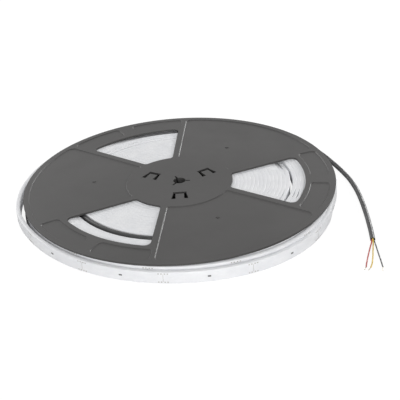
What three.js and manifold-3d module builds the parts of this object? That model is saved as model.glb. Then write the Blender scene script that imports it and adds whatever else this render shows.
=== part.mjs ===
// A reel of LED strip light: two plastic reel halves snapped together, two lengths of
// silicone-sheathed strip wound on them, a lead wound between the turns and a lead lying free.
// Millimetres, +Z up. The reel lies flat on z = 0 with its axis vertical.
// An azimuth is counter-clockwise from +X seen from above. The strips are wound so that
// their radius grows clockwise, so a winding angle counts clockwise.

import * as THREE from 'three';
import { mergeVertices } from 'three/addons/utils/BufferGeometryUtils.js';
import Module from 'manifold-3d';

const wasm = await Module();
wasm.setup();

// Strip section and the room left around it
const stripHeight = 12;
const stripThickness = 3.8;
const turnGap = 0.3; // between one turn and the next
const restClearance = 0.3; // between the strip and each disc
const endGap = 0.2; // degrees of winding between a strip, its cap and its lead

// Discs of the reel
const flangeRadius = 165;
const flangeThickness = 2;
const flangeSides = 72; // straight edges around a full circle
const recessDepth = 0.6; // panels and pockets, below the raised borders
const rimWidth = 6; // raised ring outside the panels and pockets
const borderWidth = 5.5; // raised band between a window and its pockets
const sideBorder = 7; // raised band between a window and each panel beside it
const pocketBorder = 4.5; // raised band between a pocket and the panel beside it
const pocketWidth = 20; // radial, of the two pockets outside each window
const pocketDivider = 16; // raised band between those two pockets
const hubDiscRadius = 56.5; // raised disc in the middle, and the windows' inner edge
const gateRadius = 92; // from the axis to the dimple around each panel's moulding gate
const gateDiameter = 4.4;
const gateDepth = 0.4; // below the panel
const gateSides = 12;

// Windows, with a panel between each two
const windowCount = 3;
const windowAzimuth = -6.5; // centre line of the first window
const windowInnerHalfAngle = 16.4;
const windowOuterHalfAngle = 23.8;
const innerRound = 3;
const outerRound = 8;
const pocketRound = 5;

// Hub, moulded half on each disc
const hubWallRadius = 50;
const hubWallThickness = 1.8;
const bossRadius = 14;
const ribThickness = 1.6;
const matingGap = 0.3; // between the two halves' hub walls
const arborBore = 13;
const keyWidth = 2;
const keyReach = 11.5; // from the axis to the bottom of a key slot

// Latches: a slot on three sides of a tongue, and a hook under the tongue's free end
const latchRadius = 33;
const latchSlotWidth = 14; // at the tongue's free end
const latchSlotDepth = 14.6;
const latchBar = 4; // the slot's width across the tongue's free end
const latchLeg = 2.5; // the slot's width along the tongue's sides, at the free end
const latchFlare = 2; // how much wider each leg is at the tongue's root
const hookWidth = 4;
const hookThickness = 1.6;
const hookCatch = 1.8; // how far the barb stands out
const barbHeight = 1.9;
const hookClearance = 0.4;
const latches = [
  { azimuth: -90, facing: -90 },
  { azimuth: 152, facing: -120 },
  { azimuth: 29, facing: -60 },
];

// Leads
const leadDiameter = 5;
const leadSides = 10;
const coreDiameter = 1.3;
const coreSides = 8;
const coreSpread = 1; // from the lead's centre to each core's
const wireDiameter = 0.8;
const floorGap = 0.1; // a lead's lowest edge above the surface
const jacketGap = 0.3; // between a cap, a jacket, its cores and their wires

// Windings, in degrees. Every turn bends at the same steps, so neighbours stay parallel.
const windingStep = 10;
const innerTurns = 14.5;
const innerStripEnd = 50; // winding angle where the inner strip ends
const innerCapAngle = 10;
const woundLeadAngle = 140; // how far the inner strip's lead reaches round
const woundCoreAngle = 10;
const outerCapAngle = 10;
const looseStart = 20; // winding angle, less whole turns, where the last turn comes loose
const looseAngle = 300; // from there to the outer strip's end
const looseStartInset = 1.1; // strip centre inside the disc's edge at that place

// The outer strip's first turn, up to where it passes over the wound lead's beginning:
// winding angle, and its inner face's distance from the inner strip
const firstTurnRoute = [
  [210, 1.6], [230, 2], [270, 2.2], [300, 2.7], [340, 2.7], [350, 1.3], [360, 0.4],
  [370, 0.3], [380, 0.4], [390, 0.9], [400, 1.6], [410, 2.3], [420, 2.9],
];

// The bulge of the turns inside the last one: azimuth, and how far the next-to-last turn
// stands out from its tight place. Each turn further in keeps a share of it.
const bulgeRoute = [
  [-14, 0], [-24, 2.2], [-36, 6.2], [-47, 8.6], [-57, 9.2], [-66, 8.2], [-78, 6.1],
  [-90, 4.5], [-103, 2.7], [-118, 1.1], [-132, 0.3], [-146, 0],
];
const bulgeShare = 0.8;

// The last turn: winding angle after it comes loose, and its inner face's distance
// outside the disc's edge
const looseRoute = [
  [8, 0.7], [14, 2.6], [20, 4.5], [30, 6.7], [39, 7.8], [47, 7.4], [55, 6.2], [63, 5],
  [71, 3.6], [78, 2.7], [86, 1.8], [95, 1.2], [104, 1.1], [114, 1.1], [124, 1.3],
  [136, 2.4], [147, 4.6], [158, 4.2], [172, 3.4], [184, 2.8], [196, 2], [210, 1.4],
  [235, 1.4], [260, 2.2], [280, 2.8], [300, 2.9],
];
const dropStart = 8; // the last turn comes down onto the surface between these angles
const dropEnd = 24;

// End cap of the outer strip, with the neck that the free lead comes out of
const endCapLength = 12;
const endCapThickness = 5.4;
const neckLength = 8;
const neckDiameter = 6.6;
const neckTip = 5.6;

// Free lead: from the neck's end, around and forward along the surface, x and y from the
// reel's axis, z above the surface
const leadRoute = [
  [152.0, 79.9, 5.9], [157.8, 69.6, 5.6], [163.6, 57.6, 5.1], [169.3, 43.6, 4.4],
  [174.2, 31.0, 3.7], [178.7, 17.6, 3.0], [182.1, 4.5, 2.7], [184.1, -8.5, 2.6],
  [185.4, -20.5, 2.6], [186.1, -35.0, 2.6], [186.3, -50.0, 2.6], [186.1, -64.0, 2.6],
  [185.7, -78.0, 2.6], [185.0, -92.5, 2.6], [184.1, -107.5, 2.6], [182.8, -122.6, 2.6],
];
// Cores, from the jacket's end: the insulation's route, then the bare wire's tip
const freeCores = {
  red: {
    side: -1,
    route: [
      [180.6, -127.5, 2.2], [178.2, -134.0, 1.4], [175.8, -141.0, 0.8], [173.4, -148.5, 0.8],
      [171.3, -155.6, 0.8], [169.6, -161.3, 0.8], [168.3, -166.5, 0.8],
    ],
    tip: [166.1, -170.4, 0.6],
  },
  yellow: {
    side: 0,
    route: [
      [182.2, -127.9, 1.9], [181.2, -133.0, 1.2], [180.0, -138.6, 0.8], [178.4, -146.6, 0.8],
      [176.5, -154.8, 0.8], [174.7, -161.6, 0.8], [172.3, -167.8, 0.8],
    ],
    tip: [169.3, -172.0, 0.6],
  },
  black: {
    side: 1,
    route: [
      [183.9, -128.4, 2.1], [184.0, -135.0, 1.3], [183.9, -142.5, 0.8], [183.8, -150.0, 0.8],
      [183.6, -159.0, 0.8], [183.3, -168.4, 0.8],
    ],
    tip: [181.9, -174.6, 0.6],
  },
};
const woundWireLength = 5; // bare wire at the end of each core of the wound lead

// Heights
const discGap = stripHeight + 2 * restClearance;
const reelHeight = 2 * flangeThickness + discGap;
const wallReach = reelHeight / 2 - matingGap / 2; // from a half's outer face to its wall's edge
const stripMiddle = flangeThickness + restClearance + stripHeight / 2;

const plastic = new THREE.MeshStandardMaterial({ color: 0x666564, roughness: 0.6 });
const silicone = new THREE.MeshStandardMaterial({ color: 0xe6e7ea, roughness: 0.4 });
const jacketRubber = new THREE.MeshStandardMaterial({ color: 0x2b2b2b, roughness: 0.55 });
const tinned = new THREE.MeshStandardMaterial({ color: 0xc4bda8, roughness: 0.35, metalness: 1 });
const insulation = {
  red: new THREE.MeshStandardMaterial({ color: 0xb03a30, roughness: 0.5 }),
  yellow: new THREE.MeshStandardMaterial({ color: 0xdcc040, roughness: 0.5 }),
  black: new THREE.MeshStandardMaterial({ color: 0x2e2e2c, roughness: 0.5 }),
};

const radians = THREE.MathUtils.degToRad;

function atAngle(radius, angle) {
  return new THREE.Vector2(radius * Math.cos(angle), radius * Math.sin(angle));
}

// A closed geometry as a solid, and a solid back as a geometry
function solidOf(geometry) {
  const bare = geometry.clone();
  bare.deleteAttribute('normal');
  bare.deleteAttribute('uv');
  const merged = mergeVertices(bare, 1e-4);
  return new wasm.Manifold(new wasm.Mesh({
    numProp: 3,
    vertProperties: merged.attributes.position.array,
    triVerts: new Uint32Array(merged.index.array),
  }));
}

function geometryOf(solid) {
  const mesh = solid.getMesh();
  const geometry = new THREE.BufferGeometry();
  geometry.setAttribute('position', new THREE.BufferAttribute(mesh.vertProperties, 3));
  geometry.setIndex(new THREE.BufferAttribute(mesh.triVerts, 1));
  geometry.computeVertexNormals();
  return geometry;
}

// A prism of an outline between two heights, turned to an azimuth in degrees
function prism(points, bottom, top, azimuth = 0) {
  const shape = new THREE.Shape(points);
  const geometry = new THREE.ExtrudeGeometry(shape, { depth: top - bottom, bevelEnabled: false });
  geometry.translate(0, 0, bottom);
  geometry.rotateZ(radians(azimuth));
  return solidOf(geometry);
}

function circlePoints(radius) {
  const points = [];
  for (let i = 0; i < flangeSides; i += 1) {
    points.push(atAngle(radius, (i / flangeSides) * 2 * Math.PI));
  }
  return points;
}

function rectangle(left, right, low, high) {
  return [
    new THREE.Vector2(left, low),
    new THREE.Vector2(right, low),
    new THREE.Vector2(right, high),
    new THREE.Vector2(left, high),
  ];
}

// Outlines of the windows, panels and pockets

function arcPoints(radius, from, to) {
  const count = Math.max(1, Math.round((Math.abs(to - from) / (2 * Math.PI)) * flangeSides));
  const points = [];
  for (let i = 0; i <= count; i += 1) {
    points.push(atAngle(radius, from + ((to - from) * i) / count));
  }
  return points;
}

function cornerPoints(start, corner, end) {
  return new THREE.QuadraticBezierCurve(start, corner, end).getPoints(4);
}

// Where the line from a through b meets the circle of this radius, ahead of a
function crossing(a, b, radius) {
  const direction = b.clone().sub(a).normalize();
  const along = a.dot(direction);
  const reach = Math.sqrt(radius * radius - a.lengthSq() + along * along);
  return a.clone().addScaledVector(direction, reach - along);
}

// A sector about +X with straight sides: the upper side runs along the line from a through b
function sectorOutline(innerRadius, outerRadius, a, b, innerCorner, outerCorner) {
  const low = crossing(a, b, innerRadius);
  const high = crossing(a, b, outerRadius);
  const side = high.clone().sub(low).normalize();
  const lowStop = low.angle() - innerCorner / innerRadius;
  const highStop = high.angle() - outerCorner / outerRadius;
  const upper = [
    ...arcPoints(innerRadius, 0, lowStop),
    ...cornerPoints(
      atAngle(innerRadius, lowStop),
      low,
      low.clone().addScaledVector(side, innerCorner),
    ).slice(1),
    ...cornerPoints(
      high.clone().addScaledVector(side, -outerCorner),
      high,
      atAngle(outerRadius, highStop),
    ),
    ...arcPoints(outerRadius, highStop, 0).slice(1),
  ];
  const lower = upper.slice(1, -1).map((p) => new THREE.Vector2(p.x, -p.y)).reverse();
  return [...upper, ...lower];
}

const pocketOuterRadius = flangeRadius - rimWidth;
const pocketInnerRadius = pocketOuterRadius - pocketWidth;
const windowOuterRadius = pocketInnerRadius - borderWidth;
const windowSide = [
  atAngle(hubDiscRadius, radians(windowInnerHalfAngle)),
  atAngle(windowOuterRadius, radians(windowOuterHalfAngle)),
];

// The window's side moved out by the border: the edge of the panel beside it
const sideNormal = windowSide[1].clone().sub(windowSide[0]).normalize();
sideNormal.set(-sideNormal.y, sideNormal.x);
const borderSide = windowSide.map((p) => p.clone().addScaledVector(sideNormal, sideBorder));

function windowOutline() {
  return sectorOutline(
    hubDiscRadius, windowOuterRadius, windowSide[0], windowSide[1], innerRound, outerRound,
  );
}

// The panel's upper side is the next window's border, seen in a mirror from the panel's centre line
function panelOutline() {
  const middle = new THREE.Vector2();
  const toPanel = Math.PI / windowCount;
  const side = borderSide
    .map((p) => p.clone().rotateAround(middle, -toPanel))
    .map((p) => new THREE.Vector2(p.x, -p.y));
  return sectorOutline(
    hubDiscRadius, pocketOuterRadius, side[0], side[1], innerRound, outerRound,
  );
}

// The dimple on a panel's centre line
function gateOutline() {
  const dimple = new THREE.EllipseCurve(gateRadius, 0, gateDiameter / 2, gateDiameter / 2);
  return dimple.getPoints(gateSides).slice(0, -1);
}

const pocketMiddle = (pocketInnerRadius + pocketOuterRadius) / 2;
const pocketNear = pocketDivider / 2 / pocketMiddle;
const pocketFar =
  crossing(borderSide[0], borderSide[1], pocketMiddle).angle() - pocketBorder / pocketMiddle;

function pocketOutline() {
  const half = (pocketFar - pocketNear) / 2;
  return sectorOutline(
    pocketInnerRadius,
    pocketOuterRadius,
    atAngle(pocketInnerRadius, half),
    atAngle(pocketOuterRadius, half),
    pocketRound,
    pocketRound,
  );
}

// One half of the reel, its outer face at z = 0 and its hub reaching down from it.
// A half built with side -1 is laid out in a mirror, so that it matches when turned over.
function reelHalf(side) {
  const inside = -flangeThickness;
  const overlap = flangeThickness / 2; // of a wall into the disc that it stands on
  const windowTurn = 360 / windowCount;

  let half = prism(circlePoints(flangeRadius), inside, 0);
  half = half.add(prism(circlePoints(hubWallRadius), -wallReach, inside + overlap));
  half = half.subtract(
    prism(circlePoints(hubWallRadius - hubWallThickness), -wallReach - 1, inside),
  );
  half = half.add(prism(circlePoints(bossRadius), -wallReach, inside + overlap));

  for (let i = 0; i < windowCount; i += 1) {
    const azimuth = side * (windowAzimuth + i * windowTurn);
    const pocketTurn = THREE.MathUtils.radToDeg((pocketNear + pocketFar) / 2);
    const rib = rectangle(
      bossRadius - 1, hubWallRadius - hubWallThickness / 2, -ribThickness / 2, ribThickness / 2,
    );
    const keySlot = rectangle(0, keyReach, -keyWidth / 2, keyWidth / 2);
    half = half.add(prism(rib, -wallReach, inside + overlap, azimuth));
    half = half.subtract(prism(windowOutline(), inside - 1, 1, azimuth));
    half = half.subtract(prism(keySlot, -reelHeight, 1, azimuth));
    half = half.subtract(prism(panelOutline(), -recessDepth, 1, azimuth + windowTurn / 2));
    half = half.subtract(prism(gateOutline(), -recessDepth - gateDepth, 1, azimuth + windowTurn / 2));
    half = half.subtract(prism(pocketOutline(), -recessDepth, 1, azimuth + pocketTurn));
    half = half.subtract(prism(pocketOutline(), -recessDepth, 1, azimuth - pocketTurn));
  }
  half = half.subtract(prism(circlePoints(arborBore / 2), -reelHeight, 1));

  latches.forEach((latch) => {
    const cut = latchSlot().translate(latchPlace(latch, side));
    const hook = latchHook().translate(latchPlace(latch, side));
    half = half.subtract(turned(cut, latch, side));
    half = half.add(turned(hook, latch, side));
  });
  return geometryOf(half);
}

// Latches are made facing +X about the slot's own centre, then moved and turned into place

function latchPlace(latch, side) {
  const spot = atAngle(latchRadius, radians(side * (latch.azimuth - latch.facing)));
  return [spot.x, spot.y, 0];
}

function turned(solid, latch, side) {
  return solid.rotate([0, 0, side * latch.facing]);
}

function latchSlot() {
  const start = -latchSlotDepth / 2;
  const barEnd = start + latchBar;
  const halfWidth = latchSlotWidth / 2;
  const leg = [
    new THREE.Vector2(start, halfWidth - latchLeg),
    new THREE.Vector2(-start, halfWidth - latchLeg),
    new THREE.Vector2(-start, halfWidth + latchFlare),
    new THREE.Vector2(start, halfWidth),
  ];
  const cuts = [
    rectangle(start, barEnd, -halfWidth, halfWidth),
    leg,
    leg.map((p) => new THREE.Vector2(p.x, -p.y)).reverse(),
  ];
  return cuts
    .map((outline) => prism(outline, -flangeThickness - 1, 1))
    .reduce((whole, cut) => whole.add(cut));
}

function latchHook() {
  const root = -latchSlotDepth / 2 + latchBar;
  const catchTop = -(reelHeight / 2 + hookClearance / 2);
  const armSide = -(hookThickness + hookCatch / 2 + hookClearance / 2);
  const armInside = armSide + hookThickness;
  const arm = prism(
    rectangle(root, root + hookWidth, armSide, armInside),
    catchTop - barbHeight,
    -flangeThickness / 2,
  );
  const barb = prism(
    rectangle(root, root + hookWidth, armInside, armInside + hookCatch),
    catchTop - barbHeight,
    catchTop,
  );
  return arm.add(barb);
}

// Routes of the strips: centre radius by winding angle, in degrees

// A value between the rows of a table, on one smooth curve
function alongTable(table, x) {
  const last = table.length - 1;
  if (x <= table[0][0]) return table[0][1];
  if (x >= table[last][0]) return table[last][1];
  const i = table.findIndex((row) => row[0] > x) - 1;
  const slope = (k) => {
    const before = table[Math.max(k - 1, 0)];
    const after = table[Math.min(k + 1, last)];
    return (after[1] - before[1]) / (after[0] - before[0]);
  };
  const span = table[i + 1][0] - table[i][0];
  const t = (x - table[i][0]) / span;
  const rise = table[i + 1][1] - table[i][1];
  const bend = slope(i) * span - rise;
  const bendBack = slope(i + 1) * span - rise;
  return table[i][1] + t * rise + t * (1 - t) * ((1 - t) * bend - t * bendBack);
}

const tightPitch = stripThickness + turnGap;
const innerStripStart = innerStripEnd - innerTurns * 360;
const innerStripRadius = hubWallRadius + turnGap + stripThickness / 2;

function innerRadiusAt(angle) {
  return innerStripRadius + ((angle - innerStripStart) / 360) * tightPitch;
}

// The wound lead lies on the inner strip's last turn
const woundLeadStart = innerStripEnd + innerCapAngle;
const woundLeadEnd = woundLeadStart + woundLeadAngle;

function woundLeadRadiusAt(angle) {
  return innerRadiusAt(angle - 360) + stripThickness / 2 + turnGap + leadDiameter / 2;
}

// The outer strip starts behind the wound lead's end, lies on the inner strip, climbs over
// the lead's beginning, and from there is wound evenly until it comes loose
const outerCapStart = woundLeadEnd + woundCoreAngle;
const outerStripStart = outerCapStart + outerCapAngle;
const overLeadAngle = woundLeadStart + 360;

function firstTurnRadiusAt(angle) {
  return innerRadiusAt(angle - 360) + stripThickness + alongTable(firstTurnRoute, angle);
}
const overLeadRadius = firstTurnRadiusAt(overLeadAngle);
const looseStartRadius = flangeRadius - looseStartInset;
const partTurn = (((looseStart - overLeadAngle) % 360) + 360) % 360;
const evenTurns =
  Math.floor((looseStartRadius - overLeadRadius) / tightPitch - partTurn / 360) + partTurn / 360;
const evenPitch = (looseStartRadius - overLeadRadius) / evenTurns;
const looseStartAngle = overLeadAngle + evenTurns * 360;
const outerStripEnd = looseStartAngle + looseAngle;

function evenRadiusAt(angle) {
  if (angle < overLeadAngle) return firstTurnRadiusAt(angle);
  return overLeadRadius + ((angle - overLeadAngle) / 360) * evenPitch;
}

function bulgeAt(angle) {
  const route = bulgeRoute.map(([azimuth, out]) => [-azimuth, out]);
  const turnsIn = Math.floor((looseStartAngle - angle) / 360);
  const inTurn = (((angle - looseStart) % 360) + 360) % 360;
  return alongTable(route, looseStart + inTurn) * bulgeShare ** turnsIn;
}

function outerRadiusAt(angle) {
  if (angle <= looseStartAngle) return evenRadiusAt(angle) + bulgeAt(angle);
  const start = [0, -looseStartInset - stripThickness / 2];
  const inside = alongTable([start, ...looseRoute], angle - looseStartAngle);
  return flangeRadius + inside + stripThickness / 2;
}

function outerHeightAt(angle) {
  const from = looseStartAngle + dropStart;
  const down = THREE.MathUtils.smoothstep(angle, from, looseStartAngle + dropEnd);
  return THREE.MathUtils.lerp(stripMiddle, stripHeight / 2, down);
}

// A winding as a curve whose parameter is its winding angle, so that neighbouring turns
// have their corners side by side
class Winding extends THREE.Curve {
  constructor(from, to, radiusAt, heightAt) {
    super();
    this.from = from;
    this.to = to;
    this.radiusAt = radiusAt;
    this.heightAt = heightAt;
  }

  getPoint(t, target = new THREE.Vector3()) {
    const angle = THREE.MathUtils.lerp(this.from, this.to, t);
    const flat = atAngle(this.radiusAt(angle), radians(-angle));
    return target.set(flat.x, flat.y, this.heightAt(angle));
  }

  getUtoTmapping(u) {
    return u;
  }

  // The section stays upright all the way round
  computeFrenetFrames(steps) {
    const frames = { tangents: [], normals: [], binormals: [] };
    for (let i = 0; i <= steps; i += 1) {
      const tangent = this.getTangent(i / steps).setZ(0).normalize();
      frames.tangents.push(tangent);
      frames.normals.push(new THREE.Vector3(0, 0, -1));
      frames.binormals.push(new THREE.Vector3(-tangent.y, tangent.x, 0));
    }
    return frames;
  }
}

function wound(section, from, to, radiusAt, heightAt) {
  return new THREE.ExtrudeGeometry(new THREE.Shape(section), {
    steps: Math.max(1, Math.round((to - from) / windingStep)),
    extrudePath: new Winding(from, to, radiusAt, heightAt),
    bevelEnabled: false,
  });
}

const stripSection = rectangle(
  -stripHeight / 2, stripHeight / 2, -stripThickness / 2, stripThickness / 2,
);

function roundSection(diameter, sides) {
  const points = [];
  for (let i = 0; i < sides; i += 1) {
    points.push(atAngle(diameter / 2, ((i + 0.5) / sides) * 2 * Math.PI));
  }
  return points;
}

const part = new THREE.Group();

function place(name, geometry, material) {
  const mesh = new THREE.Mesh(geometry, material);
  mesh.name = name;
  part.add(mesh);
  return mesh;
}

// Reel
place('upper_reel_half', reelHalf(1), plastic).position.z = reelHeight;
place('lower_reel_half', reelHalf(-1), plastic).rotation.x = Math.PI;

// Strips and their plain caps
const level = () => stripMiddle;
place(
  'inner_strip_start_cap',
  wound(
    stripSection, innerStripStart - innerCapAngle + endGap, innerStripStart - endGap,
    () => innerStripRadius, level,
  ),
  silicone,
);
place(
  'inner_strip_roll',
  wound(stripSection, innerStripStart, innerStripEnd, innerRadiusAt, level),
  silicone,
);
place(
  'inner_strip_lead_cap',
  wound(stripSection, innerStripEnd + endGap, woundLeadStart - endGap, innerRadiusAt, level),
  silicone,
);
place(
  'outer_strip_start_cap',
  wound(stripSection, outerCapStart + endGap, outerStripStart - endGap, outerRadiusAt, level),
  silicone,
);
place(
  'outer_strip_roll',
  wound(stripSection, outerStripStart, outerStripEnd, outerRadiusAt, outerHeightAt),
  silicone,
);

// The lead wound between the turns, near their upper edge, with its cut end
const woundLeadHeight = stripMiddle + stripHeight / 2 - leadDiameter / 2 - restClearance;
place(
  'wound_lead_jacket',
  wound(
    roundSection(leadDiameter, leadSides), woundLeadStart, woundLeadEnd,
    woundLeadRadiusAt, () => woundLeadHeight,
  ),
  jacketRubber,
);
Object.entries(freeCores).forEach(([colour, core]) => {
  const height = woundLeadHeight + core.side * coreSpread * 1.5;
  const coreEnd = woundLeadEnd + woundCoreAngle / 2;
  const wireStart = coreEnd + endGap;
  const wireAngle = THREE.MathUtils.radToDeg(woundWireLength / woundLeadRadiusAt(coreEnd));
  place(
    `wound_lead_core_${colour}`,
    wound(
      roundSection(coreDiameter, coreSides), woundLeadEnd + endGap, coreEnd,
      woundLeadRadiusAt, () => height,
    ),
    insulation[colour],
  );
  place(
    `wound_lead_wire_${colour}`,
    wound(
      roundSection(wireDiameter, coreSides), wireStart, wireStart + wireAngle,
      woundLeadRadiusAt, () => height,
    ),
    tinned,
  );
});

// The outer strip's end cap: a block in line with the strip, and a tapered neck
const outerEnd = new Winding(outerStripEnd - 1, outerStripEnd, outerRadiusAt, outerHeightAt);
const stripTip = outerEnd.getPoint(1);
const stripHeading = outerEnd.getTangent(1);

function endCap() {
  const block = new THREE.BoxGeometry(endCapLength, endCapThickness, stripHeight);
  block.translate(endCapLength / 2, 0, 0);
  const neck = new THREE.CylinderGeometry(neckTip / 2, neckDiameter / 2, neckLength + 1, 16);
  neck.rotateZ(-Math.PI / 2);
  neck.translate(endCapLength + (neckLength - 1) / 2, 0, 0);
  return geometryOf(solidOf(block).add(solidOf(neck)));
}
const capStart = stripTip.clone().addScaledVector(stripHeading, jacketGap);
const outerCap = place('outer_strip_lead_cap', endCap(), silicone);
outerCap.position.copy(capStart);
outerCap.rotation.z = Math.atan2(stripHeading.y, stripHeading.x);

// Free lead
function tube(points, diameter, sides, steps) {
  return new THREE.ExtrudeGeometry(new THREE.Shape(roundSection(diameter, sides)), {
    steps,
    extrudePath: new THREE.CatmullRomCurve3(points, false, 'centripetal'),
    bevelEnabled: false,
  });
}

const toVector = ([x, y, z]) => new THREE.Vector3(x, y, z);
const neckEnd = endCapLength + neckLength + jacketGap;
const leadStart = capStart.clone().addScaledVector(stripHeading, neckEnd);
const leadPoints = [leadStart, ...leadRoute.map(toVector)];
place('lead_jacket', tube(leadPoints, leadDiameter, leadSides, 18), jacketRubber);

const jacketEnd = leadPoints[leadPoints.length - 1];
const jacketHeading = jacketEnd.clone().sub(leadPoints[leadPoints.length - 2]).normalize();
const jacketRight = new THREE.Vector3(-jacketHeading.y, jacketHeading.x, 0);
Object.entries(freeCores).forEach(([colour, core]) => {
  const start = jacketEnd
    .clone()
    .addScaledVector(jacketHeading, jacketGap)
    .addScaledVector(jacketRight, core.side * coreSpread);
  const rise = core.side === 0 ? coreSpread : 0;
  start.z = jacketEnd.z + rise;
  const points = [start, ...core.route.map(toVector)];
  const end = points[points.length - 1];
  const tip = toVector(core.tip);
  const wireStart = end.clone().add(tip.clone().sub(end).setLength(jacketGap));
  place(`lead_core_${colour}`, tube(points, coreDiameter, coreSides, 14), insulation[colour]);
  place(`lead_wire_${colour}`, tube([wireStart, tip], wireDiameter, coreSides, 1), tinned);
});

// The origin is the middle of the surface that the reel and its strips cover
const covered = new THREE.Box3();
part.children
  .filter((mesh) => !mesh.name.startsWith('lead_'))
  .forEach((mesh) => covered.expandByObject(mesh));
const middle = covered.getCenter(new THREE.Vector3());
part.position.set(-middle.x, -middle.y, 0);

export default part;
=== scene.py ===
import math
import bpy
import bmesh
from mathutils import Matrix, Vector, noise


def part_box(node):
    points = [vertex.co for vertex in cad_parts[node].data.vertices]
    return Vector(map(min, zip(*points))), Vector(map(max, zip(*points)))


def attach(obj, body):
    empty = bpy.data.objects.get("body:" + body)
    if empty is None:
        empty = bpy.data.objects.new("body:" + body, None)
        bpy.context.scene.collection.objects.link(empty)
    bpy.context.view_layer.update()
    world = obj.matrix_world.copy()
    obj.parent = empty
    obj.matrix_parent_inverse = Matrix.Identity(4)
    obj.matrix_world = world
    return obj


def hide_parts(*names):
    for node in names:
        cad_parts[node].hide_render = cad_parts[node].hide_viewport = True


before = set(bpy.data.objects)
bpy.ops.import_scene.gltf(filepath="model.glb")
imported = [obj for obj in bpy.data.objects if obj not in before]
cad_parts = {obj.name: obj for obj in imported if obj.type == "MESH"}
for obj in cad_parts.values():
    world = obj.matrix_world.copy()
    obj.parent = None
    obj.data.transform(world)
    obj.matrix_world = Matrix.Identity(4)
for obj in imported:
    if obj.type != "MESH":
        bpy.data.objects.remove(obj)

scene = bpy.context.scene
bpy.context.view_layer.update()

# Pieces are modelled in millimetres around the reel's axis, with z up from the floor
mm = 0.001
reelLow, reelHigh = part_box("upper_reel_half")
reelAxis = Vector(((reelLow.x + reelHigh.x) / 2, (reelLow.y + reelHigh.y) / 2, 0))
reelHeight = reelHigh.z / mm


def fromAxis(x, y, z=0.0):
    return reelAxis + Vector((x, y, z)) * mm


# Camera, at the photograph's angle

cameraSettings = {
    "position": (20.5, -887.9, 457.8),  # from the middle of the upper disc
    "lookDown": 28.55,
    "roll": -3.8,
    "lens": 84.52,
    "sensor": 36,
    "sees": (0.01, 20),  # from and to, in metres
}


def makeCamera():
    s = cameraSettings
    lens = bpy.data.cameras.new("photoCamera")
    lens.lens = s["lens"]
    lens.sensor_width = s["sensor"]
    lens.clip_start, lens.clip_end = s["sees"]
    camera = bpy.data.objects.new("photoCamera", lens)
    scene.collection.objects.link(camera)
    tilt = Matrix.Rotation(math.radians(90 - s["lookDown"]), 4, "X")
    roll = Matrix.Rotation(math.radians(s["roll"]), 4, "Z")
    x, y, z = s["position"]
    camera.matrix_world = Matrix.Translation(fromAxis(x, y, z + reelHeight)) @ tilt @ roll
    scene.camera = camera


makeCamera()
print("camera done")


# Materials. Each has patches between two colours, a fine grain, and a roughness that drifts
# between two values.

patchNoise = {"detail": 3.0, "edges": (0.35, 0.65)}
grainNoise = {"detail": 2.0}
sheenNoise = {"detail": 4.0, "from": (0.3, 0.7)}


def addNode(material, kind, **values):
    node = material.node_tree.nodes.new(kind)
    for name, value in values.items():
        node.inputs[name.replace("_", " ")].default_value = value
    return node


def join(material, source, target):
    material.node_tree.links.new(source, target)


def addPatches(material, shader, place, s):
    low, high = patchNoise["edges"]
    patches = addNode(
        material, "ShaderNodeTexNoise", Scale=s["patchScale"], Detail=patchNoise["detail"]
    )
    ramp = addNode(material, "ShaderNodeValToRGB")
    ramp.color_ramp.elements[0].position = low
    ramp.color_ramp.elements[1].position = high
    ramp.color_ramp.elements[0].color = (*s["colours"][0], 1)
    ramp.color_ramp.elements[1].color = (*s["colours"][1], 1)
    join(material, place.outputs["Object"], patches.inputs["Vector"])
    join(material, patches.outputs["Fac"], ramp.inputs["Fac"])
    join(material, ramp.outputs["Color"], shader.inputs["Base Color"])


def addGrain(material, shader, place, s):
    grain = addNode(
        material, "ShaderNodeTexNoise", Scale=s["grainScale"], Detail=grainNoise["detail"]
    )
    bump = addNode(
        material, "ShaderNodeBump", Strength=s["grainStrength"], Distance=s["grainDepth"]
    )
    join(material, place.outputs["Object"], grain.inputs["Vector"])
    join(material, grain.outputs["Fac"], bump.inputs["Height"])
    join(material, bump.outputs["Normal"], shader.inputs["Normal"])


def addSheenPatches(material, shader, place, s):
    drift = addNode(
        material, "ShaderNodeTexNoise", Scale=s["sheenScale"], Detail=sheenNoise["detail"]
    )
    spread = addNode(
        material, "ShaderNodeMapRange",
        From_Min=sheenNoise["from"][0], From_Max=sheenNoise["from"][1],
        To_Min=s["roughness"][0], To_Max=s["roughness"][1],
    )
    join(material, place.outputs["Object"], drift.inputs["Vector"])
    join(material, drift.outputs["Fac"], spread.inputs["Value"])
    join(material, spread.outputs["Result"], shader.inputs["Roughness"])


def makeFinish(name, s):
    material = bpy.data.materials.new(name)
    material.use_nodes = True
    shader = material.node_tree.nodes["Principled BSDF"]
    for socket, value in s.get("sockets", {}).items():
        shader.inputs[socket].default_value = value
    place = addNode(material, "ShaderNodeTexCoord")
    addPatches(material, shader, place, s)
    addGrain(material, shader, place, s)
    addSheenPatches(material, shader, place, s)
    return material


mouldedPlastic = {
    "colours": ((0.064, 0.0625, 0.0615), (0.074, 0.072, 0.071)),
    "patchScale": 11,
    "grainScale": 1500,
    "grainDepth": 0.00006,
    "grainStrength": 0.5,
    "sheenScale": 25,
    "roughness": (0.4, 0.5),
    "sockets": {"Specular IOR Level": 0.35},
}

milkySilicone = {
    "colours": ((0.82, 0.828, 0.85), (0.87, 0.875, 0.89)),
    "patchScale": 60,
    "grainScale": 700,
    "grainDepth": 0.0001,
    "grainStrength": 0.35,
    "sheenScale": 90,
    "roughness": (0.32, 0.48),
    "sockets": {
        "Subsurface Weight": 0.15,
        "Subsurface Radius": (1, 1, 1),
        "Subsurface Scale": 0.0015,
    },
}

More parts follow.
